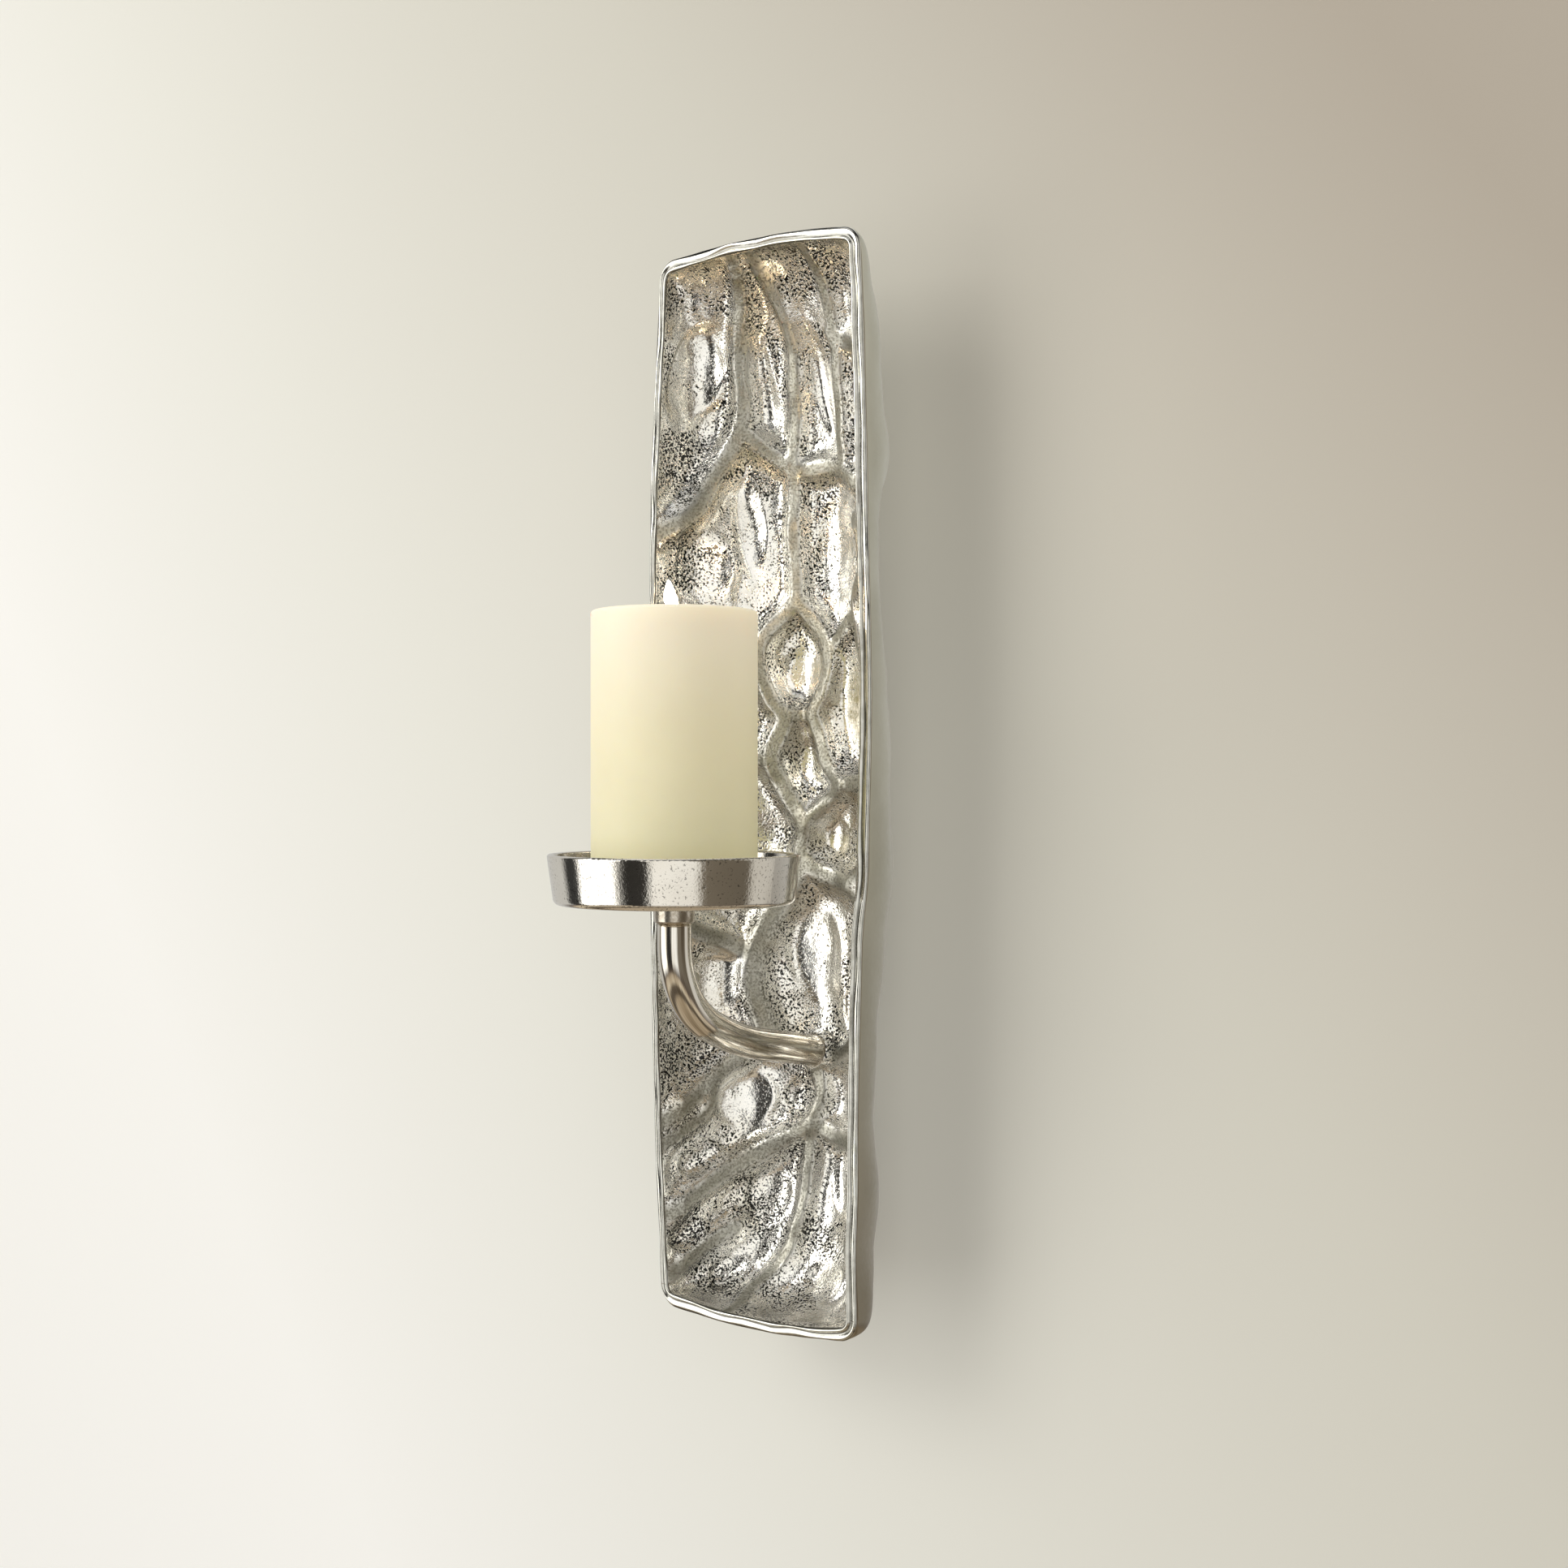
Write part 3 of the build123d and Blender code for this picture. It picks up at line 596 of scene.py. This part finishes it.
def stray(points):
    """Moves the long edges off the drawn outline, with the surface between them following."""
    share = np.clip(points[..., 0] / mid_half_width, -1, 1)
    left = by_level(points[..., 2], LEFT_EDGE) * np.clip(-share, 0, 1)
    right = by_level(points[..., 2], RIGHT_EDGE) * np.clip(share, 0, 1)
    moved = points.copy()
    moved[..., 0] += left + right
    top = np.clip(points[..., 2] / half_height, 0, 1) ** 4
    bottom = np.clip(-points[..., 2] / half_height, 0, 1) ** 4
    # The four corners reach a little past the bowed ends.
    to_left = np.clip(-share, 0, 1) ** 1.3
    to_right = np.clip(share, 0, 1) ** 1.3
    moved[..., 2] += top * (4.5 * to_left + 1.5 * to_right)
    moved[..., 2] -= bottom * (3.0 * to_left + 1.5 * to_right)
    return moved


# Section of the rim from its inner to its outer edge: (share of the wall, height, darkness of the groove).
RIM_SECTION = [
    (0.04, 0.9, 0.9), (0.10, 1.5, 0.2), (0.18, 1.7, 0), (0.26, 1.4, 0), (0.33, 0.7, 0.5), (0.40, 0.5, 0.9),
    (0.50, 0.8, 0.2), (0.60, 1.15, 0), (0.70, 1.35, 0), (0.80, 1.35, 0), (0.88, 1.05, 0.2), (0.95, 0.55, 0.9),
]
# Bosses down the middle of the back: (level, radius, y of the tip).
BACK_BOSSES = [(-103, 7, -2.5), (-20, 7, -2.5), (20, 7, -2.5), (103, 7, -2.5),
               (140, 9, -8.4), (-180, 9, -8.4)]
BOSS_SIDES = 32


def build_trough():
    n_across, n_up = 140, 300
    t = np.linspace(0, math.pi, n_across + 1)
    v = np.linspace(-1, 1, n_up + 1)
    vv, tt = np.meshgrid(v, t, indexing="ij")
    inner = trough_form(vv, tt, wall)
    outer = trough_form(vv, tt, 0.0)
    across = developed(inner)
    up = inner[..., 2]

    # Normals of the inner form that point into the hollow, from its own grid.
    normal = np.cross(np.gradient(inner, axis=1), np.gradient(inner, axis=0))
    normal /= np.maximum(np.linalg.norm(normal, axis=2, keepdims=True), 1e-9)
    if normal[n_up // 2, n_across // 2, 1] > 0:
        normal = -normal
    height, crest, calm = relief(across, up)
    # The relief dies away at the rim.
    edge = np.minimum(flank - np.abs(across), (half_height - wall - np.abs(up)) * 1.6 + 2)
    rows_in = n_up / 2 - np.abs(np.arange(n_up + 1) - n_up / 2)
    fade = np.clip(edge / 9.0, 0, 1) ** 0.8 * np.clip(rows_in / 8, 0, 1)[:, None]
    raised = height - 1.0
    raised = np.where(raised < -1.5, -1.5 - 2.3 * np.tanh((-1.5 - raised) / 2.3), raised)
    # The outside swells and pinches along the flanks, and the hollow follows where they pinch.
    flank_weight = np.clip(1 - np.abs(np.abs(across) - 52.0) / 45.0, 0, 1)
    swell = by_level(up, FLANK_SWELL) * flank_weight
    inner = inner + normal * ((raised + np.maximum(-swell, 0) * 0.95) * fade)[..., None]
    ripple = (1.1 * waves(across, up, 21, 80.0) + 0.35 * waves(across, up, 22, 30.0) - 0.5)
    # The strip down the back stays true for the hanger.
    ripple *= np.clip((np.abs(across) - 16) / 18, 0, 1) * np.clip((flank - np.abs(across)) / 30.0, 0, 1)
    ends = np.clip((half_height - np.abs(up)) / 30, 0, 1)
    outer = outer - normal * ((swell + ripple) * ends)[..., None]
    outer[..., 1] = np.minimum(outer[..., 1], rim_y + trough_depth)
    # The hollow sits a little off centre, so the right rim is the broader one.
    inner[..., 0] -= 1.4 * np.abs(inner[..., 0] / mid_half_width) ** 3
    inner = stray(inner)
    outer = stray(outer)

    loop = ([(0, j) for j in range(n_across + 1)] + [(i, n_across) for i in range(1, n_up + 1)]
            + [(n_up, j) for j in range(n_across - 1, -1, -1)] + [(i, 0) for i in range(n_up - 1, 0, -1)])
    width = n_across + 1
    total = inner.shape[0] * inner.shape[1]
    points = [inner.reshape(-1, 3), outer.reshape(-1, 3)]
    i, j = np.meshgrid(np.arange(n_up), np.arange(n_across), indexing="ij")
    a = (i * width + j).reshape(-1)
    b, c, d = a + 1, a + width + 1, a + width
    faces = [np.stack([a, b, c, d], 1), total + np.stack([a, d, c, b], 1)]
    kinds = [0] * len(a) + [1] * len(a)

    # Rim: rings between the two boundary loops.
    rows, columns = np.array(loop).T
    inside, outside = inner[rows, columns], outer[rows, columns]
    ring_now = rows * width + columns
    count = 2 * total
    wobble = 1 + 0.25 * waves(inside[:, 0], inside[:, 2], 31, 25.0)
    drift = 0.09 * waves(inside[:, 0], inside[:, 2], 32, 32.0)[:, None]
    groove = []
    for share, high, dark in RIM_SECTION:
        place = share + drift * math.sin(math.pi * share)
        ring = inside * (1 - place) + outside * place
        groove += [dark] * len(loop)
        ring[:, 1] -= (high - 0.5) * wobble
        points.append(ring)
        ring_next = np.arange(count, count + len(loop))
        count += len(loop)
        faces.append(np.stack([ring_now, ring_next, np.roll(ring_next, -1), np.roll(ring_now, -1)], 1))
        kinds += [2] * len(loop)
        ring_now = ring_next
    ring_next = total + rows * width + columns
    faces.append(np.stack([ring_now, ring_next, np.roll(ring_next, -1), np.roll(ring_now, -1)], 1))
    kinds += [2] * len(loop)

    # Bosses on the back for the hanger's screws and the bumpers.
    lids, lid_kinds = [], []
    for level, radius, tip in BACK_BOSSES:
        around = np.linspace(0, 2 * math.pi, BOSS_SIDES, endpoint=False)
        start = count
        rings = ((radius + 0.9, -9.3), (radius + 0.8, -8.6), (radius, tip - 0.5), (radius - 0.5, tip))
        for ring_radius, y in rings:
            x = ring_radius * np.cos(around)
            z = level + ring_radius * np.sin(around)
            points.append(np.stack([x, np.full(BOSS_SIDES, y), z], 1))
            count += BOSS_SIDES
        k = np.arange(BOSS_SIDES)
        n = (k + 1) % BOSS_SIDES
        for ring in range(len(rings) - 1):
            low = start + ring * BOSS_SIDES
            high = low + BOSS_SIDES
            faces.append(np.stack([low + k, low + n, high + n, high + k], 1))
            kinds += [1] * BOSS_SIDES
        lids += [list(range(start + BOSS_SIDES - 1, start - 1, -1)), list(range(count - BOSS_SIDES, count))]
        lid_kinds += [1, 1]

    made = make_object("trough_casting", np.concatenate(points) * MM, np.concatenate(faces).tolist() + lids,
                       raw_nickel, shell_nickel(), rim_nickel())
    kinds += lid_kinds
    made.data.polygons.foreach_set("material_index", kinds)
    for label, grid in (("crest", crest), ("calm", calm)):
        values = np.zeros(count, np.float32)
        values[:total] = grid.reshape(-1)
        made.data.attributes.new(label, "FLOAT", "POINT").data.foreach_set("value", values)
    values = np.zeros(count, np.float32)
    values[2 * total:2 * total + len(groove)] = groove
    made.data.attributes.new("groove", "FLOAT", "POINT").data.foreach_set("value", values)
    return made


raw_nickel = cast_nickel()
trough = build_trough()
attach(trough, "sconce")
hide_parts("trough")

# ---- Arm and its cast seat ----------------------------------------------------------------------
arm_radius = 7.8
arm_straight = 9.0
bend_radius = 45.0
bend_turn = 64.0
sweep_radius = 160.0
sweep_turn = 16.0
foot_run = 40.4
# How far the drawn lines stretch along the tube: a small share makes them long.
LIE_STRETCH = 0.035


def arm_path(step=2.0):
    """Points and headings of the arm's centre line in the (y, z) plane, from under the cup to the foot."""
    y, z = cup_y / MM, arm_top / MM
    heading = -90.0
    path = [(y, z, heading)]

    def go(length, turn):
        nonlocal y, z, heading
        count = max(2, round(length / step))
        for _ in range(count):
            heading += turn / count / 2
            y += length / count * math.cos(math.radians(heading))
            z += length / count * math.sin(math.radians(heading))
            heading += turn / count / 2
            path.append((y, z, heading))

    go(arm_straight, 0)
    go(math.radians(bend_turn) * bend_radius, bend_turn)
    go(math.radians(sweep_turn) * sweep_radius, sweep_turn)
    go(foot_run, 0)
    return path


def swept(name, stations, material, around=64):
    """Closed body from rings: each station is (y, z, heading in degrees, radius or radii by angle), in mm."""
    angles = np.linspace(0, 2 * math.pi, around, endpoint=False)
    points, lie = [], []
    run = 0.0
    before = None
    for y, z, heading, radius in stations:
        if before is not None:
            run += math.hypot(y - before[0], z - before[1])
        before = (y, z)
        lean = math.radians(heading + 90)
        out = radius * np.sin(angles)
        side = radius * np.cos(angles)
        points.append(np.stack([side, y + out * math.cos(lean), z + out * math.sin(lean)], 1))
        across, up = arm_radius * np.cos(angles), arm_radius * np.sin(angles)
        lie.append(np.stack([across, up, np.full(around, run * LIE_STRETCH)], 1))
    k = np.arange(around)
    n = (k + 1) % around
    faces = []
    for ring in range(len(stations) - 1):
        low, high = ring * around, (ring + 1) * around
        faces += np.stack([low + k, low + n, high + n, high + k], 1).tolist()
    points = np.concatenate(points)
    last = (len(stations) - 1) * around
    faces.append(list(range(around - 1, -1, -1)))
    faces.append(list(range(last, last + around)))
    made = make_object(name, points * MM, faces, material)
    layer = made.data.attributes.new("lie", "FLOAT_VECTOR", "POINT")
    layer.data.foreach_set("vector", (np.concatenate(lie) * MM).astype(np.float32).reshape(-1))
    return made


def build_arm():
    stations = [(y, z, heading, arm_radius) for y, z, heading in arm_path()]
    made = swept("arm_tube_drawn", stations, streaked_nickel())
    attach(made, "sconce")
    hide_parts("arm_tube")


# Seat section along the arm's heading from its foot: (distance, mean radius, depth of the lobes).
SEAT_SECTION = [
    (-0.6, 6.8, 0.0), (-0.3, 8.0, 0.02), (0.6, 8.9, 0.06), (2.0, 9.4, 0.14), (4.0, 9.6, 0.22),
    (6.0, 9.2, 0.26), (8.0, 8.6, 0.24), (10.0, 8.8, 0.22), (12.0, 9.8, 0.20), (13.5, 11.0, 0.18),
    (14.5, 11.5, 0.15),
]


def build_seat():
    """Lumpy cast boss that the arm's foot stands on."""
    y0, z0, heading = arm_path()[-1]
    angles = np.linspace(0, 2 * math.pi, 64, endpoint=False)
    stations = []
    for far, radius, lobes in SEAT_SECTION:
        petals = np.abs(np.cos(2.5 * angles + 0.9 + 0.05 * far)) ** 0.8 - 0.55
        petals = petals + 0.35 * np.sin(2 * angles + 0.35 * far)
        direction = math.radians(heading)
        stations.append((y0 + far * math.cos(direction), z0 + far * math.sin(direction), heading,
                         radius * (1 + lobes * petals)))
    made = swept("arm_seat_cast", stations, raw_nickel)
    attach(made, "sconce")
    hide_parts("arm_seat")


build_arm()
build_seat()

# ---- CAD parts that keep their shape -------------------------------------------------------------
LOOKS = [
    (polished_nickel, ["cup"]),
    (worn_nickel, ["cup_collar", "arm_foot_ring"]),
    (zinc_steel, ["hanger_plate", "hanger_screws", "bumper_screws", "seat_pin", "arm_foot_plug",
                  "arm_top_plug", "arm_flat_washer", "arm_lock_washer", "arm_screw", "cup_lock_washer",
                  "cup_screw"]),
    (black_rubber, ["wall_bumpers"]),
    (candle_wax, ["candle"]),
    (charred_cotton, ["wick"]),
]
for build_look, names in LOOKS:
    look = build_look()
    for name in names:
        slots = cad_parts[name].data.materials
        slots.clear()
        slots.append(look)

# ---- Flame --------------------------------------------------------------------------------------
# Outline of the flame as (radius, height above the candle).
flame_outline = [(0.0, 0.0012), (0.0018, 0.0016), (0.0029, 0.003), (0.0032, 0.0052), (0.0028, 0.0078),
                 (0.0018, 0.011), (0.0007, 0.0138), (0.0, flame_height)]
flame_profile = [(r, candle_high.z + z) for r, z in flame_outline]
flame = turned("candle_flame", flame_profile, (cup_x, cup_y), flame_light(), 32)
# The flame leans away from the upright as it rises.
for corner in flame.data.vertices:
    risen = min(max((corner.co.z - candle_high.z) / flame_height, 0), 1)
    lean = 0.0028 * risen ** 0.6
    corner.co.x -= lean * 0.8
    corner.co.y -= lean * 0.6
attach(flame, "candle")

# ---- Stage --------------------------------------------------------------------------------------
stage_half = 4.0
floor_level = -0.7
wall_face = 0.0006           # just behind the hanger plate's back
wall_corners = [(-stage_half, wall_face, floor_level), (stage_half, wall_face, floor_level),
                (stage_half, wall_face, stage_half), (-stage_half, wall_face, stage_half)]
wall_panel = make_object("stage_wall", wall_corners, [(0, 1, 2, 3)], wall_with_painted_light(), smooth=False)
floor_corners = [(-stage_half, -stage_half, floor_level), (stage_half, -stage_half, floor_level),
                 (stage_half, stage_half, floor_level), (-stage_half, stage_half, floor_level)]
floor = make_object("stage_floor", floor_corners, [(0, 1, 2, 3)], floor_paint(), smooth=False)

# ---- Light --------------------------------------------------------------------------------------
# Studio round the object: (compass angle in degrees, brightness, warmth).
# 0 is straight out from the wall and 90 is its right.
STUDIO_BANDS = [
    (-180, 0.75, 0), (-100, 0.85, 0), (-84, 0.85, 0), (-76, 0.05, 0), (-60, 0.05, 0), (-54, 3.0, 0),
    (-20, 3.0, 0), (-15, 0.9, 0), (-11, 0.4, 0), (-7, 0.04, 0.3), (14, 0.05, 0.3), (20, 1.5, 0),
    (60, 1.35, 0), (69, 0.26, 1), (112, 0.20, 1), (119, 0.90, 0.2), (138, 0.85, 0.2), (146, 0.55, 0.2),
    (180, 0.75, 0),
]
BAND_TOP = 3.0


def build_world():
    world = bpy.data.worlds.new("studio")
    bpy.context.scene.world = world
    world.use_nodes = True
    tree = world.node_tree
    way = node(tree, "ShaderNodeSeparateXYZ", {0: node(tree, "ShaderNodeTexCoord").outputs["Generated"]})
    x, y, z = way.outputs
    compass = maths(tree, "ARCTAN2", x, maths(tree, "MULTIPLY", y, -1.0))
    turn = maths(tree, "MULTIPLY_ADD", compass, 1 / (2 * math.pi), 0.5)
    bands = ramp(tree, turn, [((angle + 180) / 360, tuple(value / BAND_TOP * c for c in
                               (1.0, 0.985 - 0.13 * warmth, 0.95 - 0.28 * warmth)))
                              for angle, value, warmth in STUDIO_BANDS])
    # Above the bands a dark gap and a pale ceiling, under them a warm floor.
    level = maths(tree, "MULTIPLY_ADD", z, 0.5, 0.5)
    ceiling = ramp(tree, level, [(0.80, 0.0), (0.86, 1.0)])
    ceiling_tone = ramp(tree, level, [(0.86, 0.02), (0.91, 0.03), (0.95, 0.40), (1.0, 0.34)])
    floor_share = ramp(tree, level, [(0.24, 1.0), (0.32, 0.0)])
    floor_tone = ramp(tree, level, [(0.0, (0.20, 0.165, 0.12)), (0.08, (0.22, 0.18, 0.13)),
                                     (0.11, (0.05, 0.04, 0.03)), (0.15, (0.06, 0.048, 0.035)),
                                     (0.18, (0.30, 0.26, 0.20)), (0.22, (0.24, 0.20, 0.15)),
                                     (0.25, (0.04, 0.03, 0.025))])
    colour = mix_colour(tree, ceiling, bands, ceiling_tone)
    colour = mix_colour(tree, floor_share, colour, floor_tone)
    background = tree.nodes["Background"]
    tree.links.new(colour, background.inputs["Color"])
    background.inputs["Strength"].default_value = BAND_TOP * 0.72
    plain = node(tree, "ShaderNodeBackground", {"Color": (0.70, 0.68, 0.63, 1.0), "Strength": 1.0})
    sight = node(tree, "ShaderNodeLightPath").outputs["Is Camera Ray"]
    shown = node(tree, "ShaderNodeMixShader", {0: sight, 1: background.outputs[0], 2: plain.outputs[0]})
    tree.links.new(shown.outputs[0], tree.nodes["World Output"].inputs["Surface"])


build_world()


def area_light(name, place, target, width, height, power, colour):
    data = bpy.data.lights.new(name, "AREA")
    data.shape = "RECTANGLE"
    data.size = width
    data.size_y = height
    data.energy = power
    data.color = colour
    lamp = bpy.data.objects.new(name, data)
    lamp.location = place
    lamp.rotation_euler = (Vector(target) - Vector(place)).to_track_quat("-Z", "Y").to_euler()
    bpy.context.scene.collection.objects.link(lamp)


area_light("key_window", (-0.72, -1.60, 0.95), (0, 0, 0), 1.15, 1.05, 8.5, (1.0, 0.985, 0.95))

glow_data = bpy.data.lights.new("flame_glow", "POINT")
glow_data.energy = 0.025
glow_data.color = (1.0, 0.70, 0.42)
glow_data.shadow_soft_size = 0.006
glow = bpy.data.objects.new("flame_glow", glow_data)
glow.location = (cup_x, cup_y + 0.012, candle_high.z + 0.02)
bpy.context.scene.collection.objects.link(glow)

# ---- Camera -------------------------------------------------------------------------------------
camera_data = bpy.data.cameras.new("camera")
camera = bpy.data.objects.new("camera", camera_data)
bpy.context.scene.collection.objects.link(camera)
camera_turn = 37.0
camera_data.sensor_width = 36.0
camera_data.lens = 43.16
camera.location = (0.5557, -0.7883, 0.0)
camera.rotation_euler = (math.radians(90), 0, math.radians(camera_turn))
bpy.context.scene.camera = camera
bpy.context.scene.view_settings.view_transform = "Standard"
